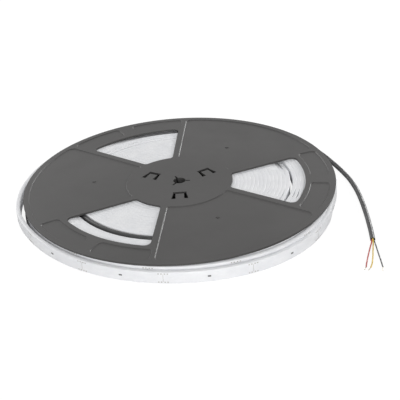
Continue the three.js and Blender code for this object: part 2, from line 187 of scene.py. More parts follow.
cableRubber = {
    "colours": ((0.028, 0.028, 0.029), (0.045, 0.045, 0.046)),
    "patchScale": 120,
    "grainScale": 1600,
    "grainDepth": 0.00008,
    "grainStrength": 0.5,
    "sheenScale": 150,
    "roughness": (0.36, 0.5),
}

coreInsulation = {
    "patchScale": 300,
    "grainScale": 2500,
    "grainDepth": 0.00004,
    "grainStrength": 0.5,
    "sheenScale": 400,
    "roughness": (0.3, 0.42),
}
coreColours = {
    "red": ((0.42, 0.035, 0.025), (0.5, 0.05, 0.035)),
    "yellow": ((0.72, 0.5, 0.06), (0.8, 0.58, 0.09)),
    "black": ((0.022, 0.022, 0.022), (0.034, 0.034, 0.034)),
}

tinnedCopper = {
    "colours": ((0.62, 0.56, 0.45), (0.74, 0.7, 0.62)),
    "patchScale": 900,
    "grainScale": 4000,
    "grainDepth": 0.00003,
    "grainStrength": 0.5,
    "sheenScale": 1200,
    "roughness": (0.25, 0.45),
    "sockets": {"Metallic": 1.0},
}

markFinish = {
    "patchScale": 1200,
    "grainScale": 3000,
    "grainDepth": 0.00003,
    "grainStrength": 0.5,
    "sheenScale": 1500,
    "roughness": (0.42, 0.56),
}
markColours = {
    "solderPad": ((0.5, 0.49, 0.46), (0.58, 0.57, 0.55)),
    "chipBlack": ((0.1, 0.1, 0.1), (0.15, 0.15, 0.15)),
}

plastic = makeFinish("mouldedPlastic", mouldedPlastic)
silicone = makeFinish("milkySilicone", milkySilicone)
jacketRubber = makeFinish("cableRubber", cableRubber)
insulation = {
    colour: makeFinish(colour + "Insulation", {**coreInsulation, "colours": pair})
    for colour, pair in coreColours.items()
}
tinned = makeFinish("tinnedCopper", tinnedCopper)
solder, chip = (
    makeFinish(name, {**markFinish, "colours": pair}) for name, pair in markColours.items()
)
print("materials done")


# A finished mesh, from millimetres around the axis to its place


def finishPiece(bm, name, material, smooth=True):
    bmesh.ops.scale(bm, vec=(mm, mm, mm), verts=bm.verts)
    bmesh.ops.translate(bm, vec=reelAxis, verts=bm.verts)
    for face in bm.faces:
        face.smooth = smooth
    mesh = bpy.data.meshes.new(name)
    bm.to_mesh(mesh)
    bm.free()
    mesh.materials.append(material)
    piece = bpy.data.objects.new(name, mesh)
    scene.collection.objects.link(piece)
    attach(piece, "root")
    return piece


# Free lead, its cores and their tinned ends. The routes are the same as the solids' ones,
# from the reel's axis.

cordShape = {
    "perStretch": 4,  # steps between two points of a route
    "aroundSteps": 5,
    "shortestStep": 0.0001,
}

freeLead = {
    "diameter": 5.0,
    "route": [
        (152.0, 79.9, 5.9), (157.8, 69.6, 5.6), (163.6, 57.6, 5.1), (169.3, 43.6, 4.4),
        (174.2, 31.0, 3.7), (178.7, 17.6, 3.0), (182.1, 4.5, 2.7), (184.1, -8.5, 2.6),
        (185.4, -20.5, 2.6), (186.1, -35.0, 2.6), (186.3, -50.0, 2.6), (186.1, -64.0, 2.6),
        (185.7, -78.0, 2.6), (185.0, -92.5, 2.6), (184.1, -107.5, 2.6), (182.8, -122.6, 2.6),
    ],
}

freeCores = {
    "diameter": 1.3,
    "spread": 1.0,
    "gap": 0.3,  # between the jacket and a core, and between a core and its wire
    "red": {
        "side": -1,
        "route": [
            (180.6, -127.5, 2.2), (178.2, -134.0, 1.4), (175.8, -141.0, 0.8),
            (173.4, -148.5, 0.8), (171.3, -155.6, 0.8), (169.6, -161.3, 0.8),
            (168.3, -166.5, 0.8),
        ],
        "tip": (166.1, -170.4, 0.6),
    },
    "yellow": {
        "side": 0,
        "route": [
            (182.2, -127.9, 1.9), (181.2, -133.0, 1.2), (180.0, -138.6, 0.8),
            (178.4, -146.6, 0.8), (176.5, -154.8, 0.8), (174.7, -161.6, 0.8),
            (172.3, -167.8, 0.8),
        ],
        "tip": (169.3, -172.0, 0.6),
    },
    "black": {
        "side": 1,
        "route": [
            (183.9, -128.4, 2.1), (184.0, -135.0, 1.3), (183.9, -142.5, 0.8),
            (183.8, -150.0, 0.8), (183.6, -159.0, 0.8), (183.3, -168.4, 0.8),
        ],
        "tip": (181.9, -174.6, 0.6),
    },
}


def smoothRoute(points):
    # centripetal curve through the points, as the solids have
    perStretch, shortest = cordShape["perStretch"], cordShape["shortestStep"]
    pts = [Vector(p) for p in points]
    first = pts[0] * 2 - pts[1]
    last = pts[-1] * 2 - pts[-2]
    ends = [first] + pts + [last]
    route = []
    for i in range(1, len(ends) - 2):
        p0, p1, p2, p3 = ends[i - 1:i + 3]
        d0 = max((p1 - p0).length ** 0.5, shortest)
        d1 = max((p2 - p1).length ** 0.5, shortest)
        d2 = max((p3 - p2).length ** 0.5, shortest)
        m1 = ((p1 - p0) / d0 - (p2 - p0) / (d0 + d1) + (p2 - p1) / d1) * d1
        m2 = ((p2 - p1) / d1 - (p3 - p1) / (d1 + d2) + (p3 - p2) / d2) * d1
        for k in range(perStretch):
            t = k / perStretch
            c2 = (p2 - p1) * 3 - m1 * 2 - m2
            c3 = (p1 - p2) * 2 + m1 + m2
            route.append(p1 + m1 * t + c2 * t * t + c3 * t * t * t)
    route.append(pts[-1])
    return route


def layCord(name, points, diameter, material, node):
    # points in millimetres from the axis
    route = smoothRoute(points)
    line = bpy.data.curves.new(name, "CURVE")
    line.dimensions = "3D"
    line.bevel_depth = diameter / 2 * mm
    line.bevel_resolution = cordShape["aroundSteps"]
    line.use_fill_caps = True
    spline = line.splines.new("POLY")
    spline.points.add(len(route) - 1)
    for point, place in zip(spline.points, route):
        point.co = (*fromAxis(*place), 1)
    spline.use_smooth = True
    line.materials.append(material)
    cordPiece = bpy.data.objects.new(name, line)
    scene.collection.objects.link(cordPiece)
    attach(cordPiece, "root")
    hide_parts(node)
    return cordPiece, route


# Windings: the centre radius by winding angle, in degrees clockwise seen from above

windings = {
    "stripHeight": 12.0,
    "stripThickness": 3.8,
    "turnGap": 0.3,
    "innerTurns": 14.5,
    "innerStripEnd": 50.0,
    "capAngle": 10.0,
    "leadDiameter": 5.0,
    "woundLeadAngle": 140.0,
    "looseStart": 20.0,
    "looseAngle": 300.0,
    "looseStartInset": 1.1,
    "bulgeShare": 0.8,
    "dropStart": 8.0,
    "dropEnd": 24.0,
    "markRoom": 0.23,  # the last turn lies this far further in, so that its marks fit
}
discRadius = 165.0
hubWallRadius = 50.0
stripMiddle = 8.3

# the outer strip's first turn: winding angle, and its inner face's distance from the inner
# strip
firstTurnRoute = [
    (210, 1.6), (230, 2), (270, 2.2), (300, 2.7), (340, 2.7), (350, 1.3), (360, 0.4),
    (370, 0.3), (380, 0.4), (390, 0.9), (400, 1.6), (410, 2.3), (420, 2.9),
]

# azimuth turned round, and how far the next-to-last turn stands out from its tight place
bulgeRoute = [
    (14, 0), (24, 2.2), (36, 6.2), (47, 8.6), (57, 9.2), (66, 8.2), (78, 6.1),
    (90, 4.5), (103, 2.7), (118, 1.1), (132, 0.3), (146, 0),
]

# the last turn: angle after it comes loose, and its inner face's distance outside the disc
looseRoute = [
    (0, -4.9), (8, 0.7), (14, 2.6), (20, 4.5), (30, 6.7), (39, 7.8), (47, 7.4), (55, 6.2),
    (63, 5), (71, 3.6), (78, 2.7), (86, 1.8), (95, 0.95), (104, 0.7), (114, 0.65),
    (124, 1.1), (136, 2.4), (147, 4.6), (158, 4.2), (172, 3.4), (184, 2.8), (196, 2),
    (210, 1.4), (235, 1.3), (260, 2.2), (280, 2.8), (300, 2.9),
]


def alongTable(table, x):
    last = len(table) - 1
    if x <= table[0][0]:
        return table[0][1]
    if x >= table[last][0]:
        return table[last][1]
    i = max(k for k in range(last) if table[k][0] <= x)

    def slope(k):
        before, after = table[max(k - 1, 0)], table[min(k + 1, last)]
        return (after[1] - before[1]) / (after[0] - before[0])

    span = table[i + 1][0] - table[i][0]
    rise = table[i + 1][1] - table[i][1]
    t = (x - table[i][0]) / span
    bend = slope(i) * span - rise
    bendBack = slope(i + 1) * span - rise
    return table[i][1] + t * rise + t * (1 - t) * ((1 - t) * bend - t * bendBack)


w = windings
tightPitch = w["stripThickness"] + w["turnGap"]
halfStrip = w["stripThickness"] / 2
innerStripStart = w["innerStripEnd"] - w["innerTurns"] * 360
woundLeadStart = w["innerStripEnd"] + w["capAngle"]
woundLeadEnd = woundLeadStart + w["woundLeadAngle"]
outerCapStart = woundLeadEnd + w["capAngle"]
outerStripStart = outerCapStart + w["capAngle"]
overLeadAngle = woundLeadStart + 360


def innerRadiusAt(angle):
    return hubWallRadius + w["turnGap"] + halfStrip + (angle - innerStripStart) / 360 * tightPitch


def woundLeadRadiusAt(angle):
    return innerRadiusAt(angle - 360) + halfStrip + w["turnGap"] + w["leadDiameter"] / 2


def firstTurnRadiusAt(angle):
    return innerRadiusAt(angle - 360) + w["stripThickness"] + alongTable(firstTurnRoute, angle)


overLeadRadius = firstTurnRadiusAt(overLeadAngle)
looseStartRadius = discRadius - w["looseStartInset"]
partTurn = ((w["looseStart"] - overLeadAngle) % 360) / 360
evenTurns = math.floor((looseStartRadius - overLeadRadius) / tightPitch - partTurn) + partTurn
evenPitch = (looseStartRadius - overLeadRadius) / evenTurns
looseStartAngle = overLeadAngle + evenTurns * 360
outerStripEnd = looseStartAngle + w["looseAngle"]


def evenRadiusAt(angle):
    if angle < overLeadAngle:
        return firstTurnRadiusAt(angle)
    return overLeadRadius + (angle - overLeadAngle) / 360 * evenPitch


def outerRadiusAt(angle):
    if angle > looseStartAngle:
        inset = alongTable(looseRoute, angle - looseStartAngle)
        return discRadius + inset + halfStrip - w["markRoom"]
    turnsIn = math.floor((looseStartAngle - angle) / 360)
    inTurn = (angle - w["looseStart"]) % 360
    bulge = alongTable(bulgeRoute, w["looseStart"] + inTurn)
    return evenRadiusAt(angle) + bulge * w["bulgeShare"] ** turnsIn


def looseDrop(angle):
    t = (angle - looseStartAngle - w["dropStart"]) / (w["dropEnd"] - w["dropStart"])
    t = min(max(t, 0), 1)
    return t * t * (3 - 2 * t)


# Where the turns' upper edges are pressed down: azimuth, half its width, radius, half its
# width, depth
lowSpots = [
    {"azimuth": 17, "spread": 11, "radius": 114, "reach": 8, "depth": 3.8},
    {"azimuth": 95, "spread": 34, "radius": 140, "reach": 14, "depth": 4.4},
    {"azimuth": -128, "spread": 42, "radius": 120.3, "reach": 4, "depth": 1.6},
]


def lowAt(angle, radius):
    low = 0
    for spot in lowSpots:
        away = (-angle - spot["azimuth"] + 180) % 360 - 180
        u = abs(away) / spot["spread"]
        v = abs(radius - spot["radius"]) / spot["reach"]
        if u < 1 and v < 1:
            low += spot["depth"] * (1 - u * u) * (1 - v * v)
    return low


# How much higher or lower a turn lies than the next: along it, and from turn to turn
turnWobble = {"height": 0.16, "alongScale": 3.1, "turnScale": 7.7, "layer": 0.5}


def turnHeight(angle, radius):
    s = turnWobble
    turn = angle / 360
    spot = Vector((turn * s["alongScale"], math.floor(turn) * s["turnScale"], s["layer"]))
    wobble = noise.noise(spot) * s["height"]
    return stripMiddle + wobble - lowAt(angle, radius) / 2


def innerHeightAt(angle):
    return turnHeight(angle, innerRadiusAt(angle))


def outerHeightAt(angle):
    drop = looseDrop(angle)
    return turnHeight(angle, outerRadiusAt(angle)) * (1 - drop) + w["stripHeight"] / 2 * drop


def standUp(bm):
    bmesh.ops.rotate(
        bm, cent=(0, 0, 0), matrix=Matrix.Rotation(math.radians(90), 3, "X"), verts=bm.verts
    )


def roundedSection(bm, width, height, corner, segments):
    # an upright rounded rectangle in the XZ plane, as one face
    made = bmesh.ops.create_grid(bm, x_segments=1, y_segments=1, size=0.5)
    bmesh.ops.scale(bm, vec=(width, height, 1), verts=made["verts"])
    bmesh.ops.bevel(
        bm, geom=made["verts"], offset=corner, offset_type="OFFSET", segments=segments,
        profile=0.5, affect="VERTICES", material=-1,
    )
    standUp(bm)


def roundSection(bm, diameter, sides):
    bmesh.ops.create_circle(bm, cap_ends=True, radius=diameter / 2, segments=sides)
    standUp(bm)


def windingPlace(angle, radiusAt, heightAt):
    # on the winding, with X outwards and Y against the way it is wound, lower at a low spot
    turn = Matrix.Rotation(math.radians(-angle), 4, "Z")
    delta = 0.05  # degrees to each side, for the slope
    growth = (radiusAt(angle + delta) - radiusAt(angle - delta)) / (2 * delta)
    lean = Matrix.Rotation(math.atan(math.degrees(growth) / radiusAt(angle)), 4, "Z")
    left = 1 - lowAt(angle, radiusAt(angle)) / w["stripHeight"]
    squash = Matrix.Diagonal((1, 1, left, 1))
    return turn @ Matrix.Translation((radiusAt(angle), 0, heightAt(angle))) @ lean @ squash


def windSection(bm, start, end, step, radiusAt, heightAt):
    # draws the one face in bm along the winding, a step at a time
    count = max(1, round((end - start) / step))
    face = bm.faces[:][0]
    place = windingPlace(start, radiusAt, heightAt)
    bmesh.ops.transform(bm, matrix=place, verts=face.verts)
    edges = list(face.edges)
    for i in range(count):
        angle = start + (end - start) * (i + 1) / count
        following = windingPlace(angle, radiusAt, heightAt)
        made = bmesh.ops.extrude_edge_only(bm, edges=edges)["geom"]
        verts = [g for g in made if isinstance(g, bmesh.types.BMVert)]
        edges = [
            g for g in made
            if isinstance(g, bmesh.types.BMEdge) and all(v in verts for v in g.verts)
        ]
        bmesh.ops.transform(bm, matrix=following @ place.inverted(), verts=verts)
        place = following
    bmesh.ops.contextual_create(bm, geom=edges)
    bmesh.ops.recalc_face_normals(bm, faces=bm.faces)


stripRoll = {
    "innerThickness": 4.09,  # the real turns touch, so they nearly do here
    "outerThickness": 4.15,
    "corner": 0.35,
    "cornerSegments": 2,
    "step": 5,
}


def windStrip(name, node, thickness, start, end, radiusAt, heightAt):
    s = stripRoll
    bm = bmesh.new()
    roundedSection(bm, thickness, w["stripHeight"], s["corner"], s["cornerSegments"])
    windSection(bm, start, end, s["step"], radiusAt, heightAt)
    piece = finishPiece(bm, name, silicone)
    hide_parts(node)


windStrip(
    "innerStripRoll", "inner_strip_roll", stripRoll["innerThickness"],
    innerStripStart, w["innerStripEnd"], innerRadiusAt, innerHeightAt,
)
windStrip(
    "outerStripRoll", "outer_strip_roll", stripRoll["outerThickness"],
    outerStripStart, outerStripEnd, outerRadiusAt, outerHeightAt,
)
print("strip rolls done")


# Solder pads and resistors that show through the sheath on the last two turns. The angles
# are counted from where the last turn comes loose.

stripMarks = {
    "rows": (
        {"first": 20.4, "step": 27.75, "count": 10},
        {"first": -335.0, "step": 27.95, "count": 12},
    ),
    "padOffsets": (-4.2, -1.6, 1.6, 4.2),
    "padHeight": 4.4,  # above and below the strip's middle
    "padSize": (1.3, 1.1),
    "cutLine": (0.3, 8.2),
    "resistorAfter": 13.7,
    "resistorSize": (3.0, 1.5),
    "depth": 0.4,
    "proud": 0.05,  # how far a mark stands out of the sheath
}


def addPlate(bm, angle, across, up, size):
    s = stripMarks
    winding = looseStartAngle + angle
    winding += math.degrees(across / outerRadiusAt(winding))
    made = bmesh.ops.create_cube(bm, size=1)["verts"]
    bmesh.ops.scale(bm, vec=(s["depth"], *size), verts=made)
    out = stripRoll["outerThickness"] / 2 + s["proud"] - s["depth"] / 2
    bmesh.ops.translate(bm, vec=(out, 0, up), verts=made)
    place = windingPlace(winding, outerRadiusAt, outerHeightAt)
    bmesh.ops.transform(bm, matrix=place, verts=made)


def makeStripMarks():
    s = stripMarks
    pads, resistors = bmesh.new(), bmesh.new()
    for row in s["rows"]:
        for i in range(row["count"]):
            angle = row["first"] + i * row["step"]
            for across in s["padOffsets"]:
                for up in (-s["padHeight"], s["padHeight"]):
                    addPlate(pads, angle, across, up, s["padSize"])
            addPlate(pads, angle, 0, 0, s["cutLine"])
            addPlate(resistors, angle + s["resistorAfter"], 0, 0, s["resistorSize"])
    finishPiece(pads, "solderPads", solder, smooth=False)
    finishPiece(resistors, "resistors", chip, smooth=False)


makeStripMarks()
print("strip marks done")


# Wound lead, between the turns

woundLead = {"sides": 20, "step": 4, "height": 11.7}


def woundLeadHeightAt(angle):
    return woundLead["height"]


def windLead():
    bm = bmesh.new()
    roundSection(bm, w["leadDiameter"], woundLead["sides"])
    windSection(
        bm, woundLeadStart, woundLeadEnd, woundLead["step"], woundLeadRadiusAt,
        woundLeadHeightAt,
    )
    piece = finishPiece(bm, "woundLead", jacketRubber)
    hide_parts("wound_lead_jacket")


windLead()
print("wound lead done")


# Outer strip's end cap, with a ribbed neck around the lead

leadCap = {
    "length": 12.0,
    "thickness": 5.4,
    "corner": 0.7,
    "cornerSegments": 3,
    "gap": 0.3,  # between the strip and the cap, and between the neck and the jacket
    "lookBack": 0.5,  # degrees, for the way the strip's end points
    "neckLength": 8.0,
    "neckSink": 0.2,  # how far the neck starts inside the cap
    "neckSteps": 24,
    "neck": [  # along the neck, radius
        (0, 3.3), (1.2, 3.3), (1.6, 2.95), (2.6, 2.95), (3.0, 3.2), (3.8, 3.15),
        (4.2, 2.85), (5.1, 2.82), (5.5, 3.05), (6.3, 3.0), (6.7, 2.75), (7.6, 2.75),
        (8.0, 2.6), (8.0, 2.0),
    ],
}


def outerSpot(angle):
    turn = math.radians(-angle)
    return Vector((math.cos(turn), math.sin(turn), 0)) * outerRadiusAt(angle)


def capFrame():
    # the strip's end, with X the way the lead leaves
    tip = outerSpot(outerStripEnd)
    heading = (tip - outerSpot(outerStripEnd - leadCap["lookBack"])).normalized()
    place = Matrix.Rotation(math.atan2(heading.y, heading.x), 4, "Z")
    middle = Vector((0, 0, w["stripHeight"] / 2))
    place.translation = tip + heading * leadCap["gap"] + middle
    return place, heading


capPlace, capHeading = capFrame()


def makeLeadCap():
    s = leadCap
    bm = bmesh.new()
    block = bmesh.ops.create_cube(bm, size=1)["verts"]
    bmesh.ops.scale(bm, vec=(s["length"], s["thickness"], w["stripHeight"]), verts=block)
    bmesh.ops.translate(bm, vec=(s["length"] / 2, 0, 0), verts=block)
    bmesh.ops.bevel(
        bm, geom=bm.edges[:], offset=s["corner"], offset_type="OFFSET",
        segments=s["cornerSegments"], profile=0.5, affect="EDGES", material=-1,
    )
    root = s["length"] - s["neckSink"]
    outline = [bm.verts.new((root + x, 0, r)) for x, r in s["neck"]]
    edges = [bm.edges.new(pair) for pair in zip(outline, outline[1:])]
    bmesh.ops.spin(
        bm, geom=outline + edges, cent=(0, 0, 0), axis=(1, 0, 0),
        angle=math.tau, steps=s["neckSteps"], use_merge=True,
    )
    bmesh.ops.remove_doubles(bm, verts=bm.verts, dist=0.001)
    bmesh.ops.holes_fill(bm, edges=[e for e in bm.edges if e.is_boundary], sides=0)
    bmesh.ops.recalc_face_normals(bm, faces=bm.faces)
    bmesh.ops.transform(bm, matrix=capPlace, verts=bm.verts)
    piece = finishPiece(bm, "outerStripLeadCap", silicone)
    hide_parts("outer_strip_lead_cap")


makeLeadCap()
print("lead cap done")


# The free lead itself

leadAlong = leadCap["length"] + leadCap["neckLength"] + leadCap["gap"]
leadStart = capPlace.translation + capHeading * leadAlong
leadPoints = [leadStart] + freeLead["route"]

wireEnd = {
    "ring": 6,  # strands around the middle one
    "strandRadius": 0.15,
    "strandSides": 6,
    "ringRadius": 0.25,
    "twist": 200,
    "steps": 12,
}


def twistWire(colour, start, tip):
    s = wireEnd
    length = (tip - start).length
    bm = bmesh.new()
    for i in range(s["ring"] + 1):
        strand = bmesh.ops.create_circle(
            bm, cap_ends=True, radius=s["strandRadius"], segments=s["strandSides"]
        )["verts"]
        out = 0 if i == 0 else s["ringRadius"]
        turn = math.tau * i / s["ring"]
        bmesh.ops.translate(
            bm, vec=(out * math.cos(turn), out * math.sin(turn), 0), verts=strand
        )
    bmesh.ops.spin(
        bm, geom=bm.verts[:] + bm.edges[:] + bm.faces[:], cent=(0, 0, 0), axis=(0, 0, 1),
        dvec=(0, 0, length / s["steps"]), angle=math.radians(s["twist"]), steps=s["steps"],
    )
    bmesh.ops.recalc_face_normals(bm, faces=bm.faces)
    aim = (tip - start).to_track_quat("Z", "Y").to_matrix().to_4x4()
    aim.translation = start
    bmesh.ops.transform(bm, matrix=aim, verts=bm.verts)
    piece = finishPiece(bm, "leadWire" + colour.capitalize(), tinned)
    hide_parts("lead_wire_" + colour)
    return piece


def layFreeLead():
    jacket, route = layCord(
        "leadJacket", leadPoints, freeLead["diameter"], jacketRubber,
        "lead_jacket",
    )
    end = route[-1]
    heading = (end - Vector(freeLead["route"][-2])).normalized()
    right = Vector((-heading.y, heading.x, 0))
    for colour in ("red", "yellow", "black"):
        core = freeCores[colour]
        start = end + heading * freeCores["gap"] + right * core["side"] * freeCores["spread"]
        if core["side"] == 0:
            start.z += freeCores["spread"]
        last = Vector(core["route"][-1])
        tip = Vector(core["tip"])
        wire = twistWire(colour, last + (tip - last).normalized() * freeCores["gap"], tip)
        piece, coreRoute = layCord(
            "leadCore" + colour.capitalize(), [start] + core["route"],
            freeCores["diameter"], insulation[colour],
            "lead_core_" + colour,
        )


layFreeLead()
print("free lead done")


# Reel halves. Each is modelled with its outer face at z = 0 and its hub below.

reelHalf = {
    "thickness": 2.0,
    "recess": 0.8,
    "draft": 0.8,  # how far a recess's wall leans out
    "pocketRadii": (139.0, 159.0),
    "panelRadii": (56.5, 159.0),
    "windowRadii": (56.5, 133.5),
    "windowHalfAngles": (16.4, 23.8),
    "windowAzimuth": -6.5,
    "sideBorder": 7.0,
    "pocketBorder": 4.5,
    "pocketDivider": 16.0,
    "innerRound": 3.0,
    "outerRound": 8.0,
    "pocketRound": 5.0,
    "hubWallThickness": 1.8,
    "bossRadius": 14.0,
    "ribThickness": 1.6,
    "bore": 13.0,
    "keyWidth": 2.0,
    "keyReach": 11.5,
    "reach": 8.15,  # down to the hub wall's edge
    "ribSink": 0.9,  # how far a rib's outer end lies inside the hub wall
    "blockOver": 1.0,  # how far a block runs past the face that it joins or cuts
    "edgeRound": 0.025,  # the shortest edges leave no room for more
    "edgeSegments": 2,
    "edgeAngle": 28,  # flatter edges than this stay as they are
    "aroundSteps": 180,
}
windowCount = 3
windowTurn = 120

# Blocks that are taken away: how far they reach below and above the outer face, and the steps
# of their corners and of their long edges
cutBlock = {
    "below": -3.5,
    "above": 1.5,
    "recessAbove": 0.3,
    "keyBelow": -9,
    "cornerSegments": 6,
    "longEdge": 4,  # an arc longer than this gets the cuts
    "longEdgeCuts": 28,
}

# The dimple around each panel's moulding gate, with the cut stub left standing in it
gate = {
    "radius": 92.0,
    "diameter": 4.4,
    "depth": 0.4,
    "stub": 1.6,
    "above": 0.2,
    "segments": 24,
}

latches = [
    {"azimuth": -90, "facing": -90},
    {"azimuth": 152, "facing": -120},
    {"azimuth": 29, "facing": -60},
]

latchSlot = {
    "radius": 33.0, "width": 14.0, "depth": 14.6, "bar": 4.0, "leg": 2.5, "flare": 2.0,
    # the bar crosses the tongue's free end, the legs run along its sides
}
latchHook = {"width": 4.0, "thickness": 1.6, "catch": 1.8, "barb": 1.9, "clearance": 0.4}


def sectorBlock(bm, radii, halfAngles, low, high, rounds, azimuth, draft=0.0):
    # a flat four-sided face with rounded corners, drawn down to a block and bent round the
    # axis. The draft is how much smaller it gets from z = 0 down to its lower face.
    c = cutBlock
    block = bmesh.new()
    bmesh.ops.create_grid(block, x_segments=1, y_segments=1, size=0.5)
    middle = sum(radii) / 2
    inset = draft * (high - low) / -low
    grow = inset - draft / 2
    for v in block.verts:
        end = 1 if v.co.y > 0 else 0
        across = math.radians(halfAngles[end]) * radii[end] + grow
        along = radii[end] + (grow if end else -grow)
        v.co = (math.copysign(across, v.co.x), along, high)
    for end in (0, 1):
        corners = [v for v in block.verts if (v.co.y > middle) == bool(end)]
        bmesh.ops.bevel(
            block, geom=corners, offset=rounds[end] + grow, offset_type="OFFSET",
            segments=c["cornerSegments"], profile=0.5, affect="VERTICES", material=-1,
        )
    arcs = [
        e for e in block.edges
        if abs(e.verts[0].co.y - e.verts[1].co.y) < 1e-4 and e.calc_length() > c["longEdge"]
    ]
    bmesh.ops.subdivide_edges(block, edges=arcs, cuts=c["longEdgeCuts"])
    if draft:
        lower = block.faces[:]
        bmesh.ops.duplicate(block, geom=block.verts[:] + block.edges[:] + block.faces[:])
        bmesh.ops.inset_region(
            block, faces=lower, thickness=inset, use_boundary=True, use_even_offset=True
        )
    else:
        drawn = bmesh.ops.extrude_face_region(block, geom=block.faces[:])["geom"]
        lower = [g for g in drawn if isinstance(g, bmesh.types.BMFace)]
    bmesh.ops.translate(
        block, vec=(0, 0, low - high), verts=list({v for f in lower for v in f.verts})
    )
    bmesh.ops.remove_doubles(block, verts=block.verts, dist=0.0001)
    for v in block.verts:
        bend = math.radians(azimuth) - v.co.x / v.co.y
        v.co = (v.co.y * math.cos(bend), v.co.y * math.sin(bend), v.co.z)
    addTo(bm, block)


def addTo(bm, block):
    mesh = bpy.data.meshes.new("block")
    bmesh.ops.recalc_face_normals(block, faces=block.faces)
    block.to_mesh(mesh)
    block.free()
    bm.from_mesh(mesh)
    bpy.data.meshes.remove(mesh)


def boxBlock(bm, low, high, azimuth=0.0):
    made = bmesh.ops.create_cube(bm, size=1)["verts"]
    size = Vector(high) - Vector(low)
    bmesh.ops.scale(bm, vec=size, verts=made)
    bmesh.ops.translate(bm, vec=(Vector(low) + Vector(high)) / 2, verts=made)
    bmesh.ops.rotate(
        bm, cent=(0, 0, 0), matrix=Matrix.Rotation(math.radians(azimuth), 3, "Z"), verts=made
    )
    return made


def scratchObject(bm, name):
    bmesh.ops.recalc_face_normals(bm, faces=bm.faces)
    mesh = bpy.data.meshes.new(name)
    bm.to_mesh(mesh)
    bm.free()
    thing = bpy.data.objects.new(name, mesh)
    scene.collection.objects.link(thing)
    return thing


def carve(target, tool, operation):
    change = target.modifiers.new(operation.lower(), "BOOLEAN")
    change.operation = operation
    change.solver = "EXACT"
    change.object = tool


def revolvedHalf():
    s = reelHalf
    inside, edge = -s["thickness"], -s["reach"]
    wall = hubWallRadius - s["hubWallThickness"]
    outline = [
        (s["bore"] / 2, 0), (discRadius, 0), (discRadius, inside), (hubWallRadius, inside),
        (hubWallRadius, edge), (wall, edge), (wall, inside), (s["bossRadius"], inside),
        (s["bossRadius"], edge), (s["bore"] / 2, edge),
    ]
    bm = bmesh.new()
    verts = [bm.verts.new((r, 0, z)) for r, z in outline]
    edges = [bm.edges.new(pair) for pair in zip(verts, verts[1:] + verts[:1])]
    bmesh.ops.spin(
        bm, geom=verts + edges, cent=(0, 0, 0), axis=(0, 0, 1), angle=math.tau,
        steps=s["aroundSteps"], use_merge=True,
    )
    bmesh.ops.remove_doubles(bm, verts=bm.verts, dist=0.0001)
    return scratchObject(bm, "revolvedHalf")


def ribBlocks(side):
    s = reelHalf
    bm = bmesh.new()
    for i in range(windowCount):
        boxBlock(
            bm,
            (s["bossRadius"] - s["blockOver"], -s["ribThickness"] / 2, -s["reach"]),
            (
                hubWallRadius - s["ribSink"], s["ribThickness"] / 2,
                -s["thickness"] + s["blockOver"],
            ),
            side * (s["windowAzimuth"] + windowTurn * i),
        )
    return scratchObject(bm, "ribBlocks")


def sideAngle(radius, offset):
    # where the window's straight side, moved outwards by the offset, meets the radius
    ends = [
        Vector((r * math.cos(math.radians(a)), r * math.sin(math.radians(a))))
        for r, a in zip(reelHalf["windowRadii"], reelHalf["windowHalfAngles"])
    ]
    along = (ends[1] - ends[0]).normalized()
    start = ends[0] + Vector((-along.y, along.x)) * offset
    ahead = start.dot(along)
    rest = math.sqrt(radius * radius - start.length_squared + ahead ** 2)
    end = start + along * (rest - ahead)
    return math.degrees(math.atan2(end.y, end.x))


def cutBlocks(side):
    s, c = reelHalf, cutBlock
    pocketMiddle = sum(s["pocketRadii"]) / 2
    pocketNear = math.degrees(s["pocketDivider"] / 2 / pocketMiddle)
    pocketFar = sideAngle(pocketMiddle, s["sideBorder"])
    pocketFar -= math.degrees(s["pocketBorder"] / pocketMiddle)
    pocketHalf = (pocketFar - pocketNear) / 2
    pocketTurn = (pocketFar + pocketNear) / 2
    rounds = (s["innerRound"], s["outerRound"])
    panelHalf = [
        windowTurn / 2 - sideAngle(radius, s["sideBorder"]) for radius in s["panelRadii"]
    ]
    bm = bmesh.new()
    for i in range(windowCount):
        azimuth = side * (s["windowAzimuth"] + windowTurn * i)
        sectorBlock(
            bm, s["windowRadii"], s["windowHalfAngles"], c["below"], c["above"], rounds, azimuth
        )
        sectorBlock(
            bm, s["panelRadii"], panelHalf, -s["recess"], c["recessAbove"], rounds,
            azimuth + windowTurn / 2, s["draft"],
        )
        for turn in (-pocketTurn, pocketTurn):
            sectorBlock(
                bm, s["pocketRadii"], (pocketHalf, pocketHalf), -s["recess"],
                c["recessAbove"], (s["pocketRound"], s["pocketRound"]), azimuth + turn,
                s["draft"],
            )
        boxBlock(
            bm, (s["bore"] / 2 - s["blockOver"], -s["keyWidth"] / 2, c["keyBelow"]),
            (s["keyReach"], s["keyWidth"] / 2, s["blockOver"]), azimuth,
        )
    for latch in latches:
        latchCut(bm, latch, side)
    return scratchObject(bm, "cutBlocks")


def gateBlocks(side):
    s = reelHalf
    bm = bmesh.new()
    for i in range(windowCount):
        ring = bmesh.new()
        for diameter in (gate["diameter"], gate["stub"]):
            bmesh.ops.create_circle(ring, radius=diameter / 2, segments=gate["segments"])
        bmesh.ops.bridge_loops(ring, edges=ring.edges[:])
        raised = bmesh.ops.extrude_face_region(ring, geom=ring.faces[:])["geom"]
        top = [g for g in raised if isinstance(g, bmesh.types.BMVert)]
        bmesh.ops.translate(ring, vec=(0, 0, gate["depth"] + gate["above"]), verts=top)
        azimuth = side * (s["windowAzimuth"] + windowTurn / 2 + windowTurn * i)
        place = Matrix.Rotation(math.radians(azimuth), 4, "Z")
        place @= Matrix.Translation((gate["radius"], 0, -s["recess"] - gate["depth"]))
        bmesh.ops.transform(ring, matrix=place, verts=ring.verts)
        addTo(bm, ring)
    return scratchObject(bm, "gateBlocks")


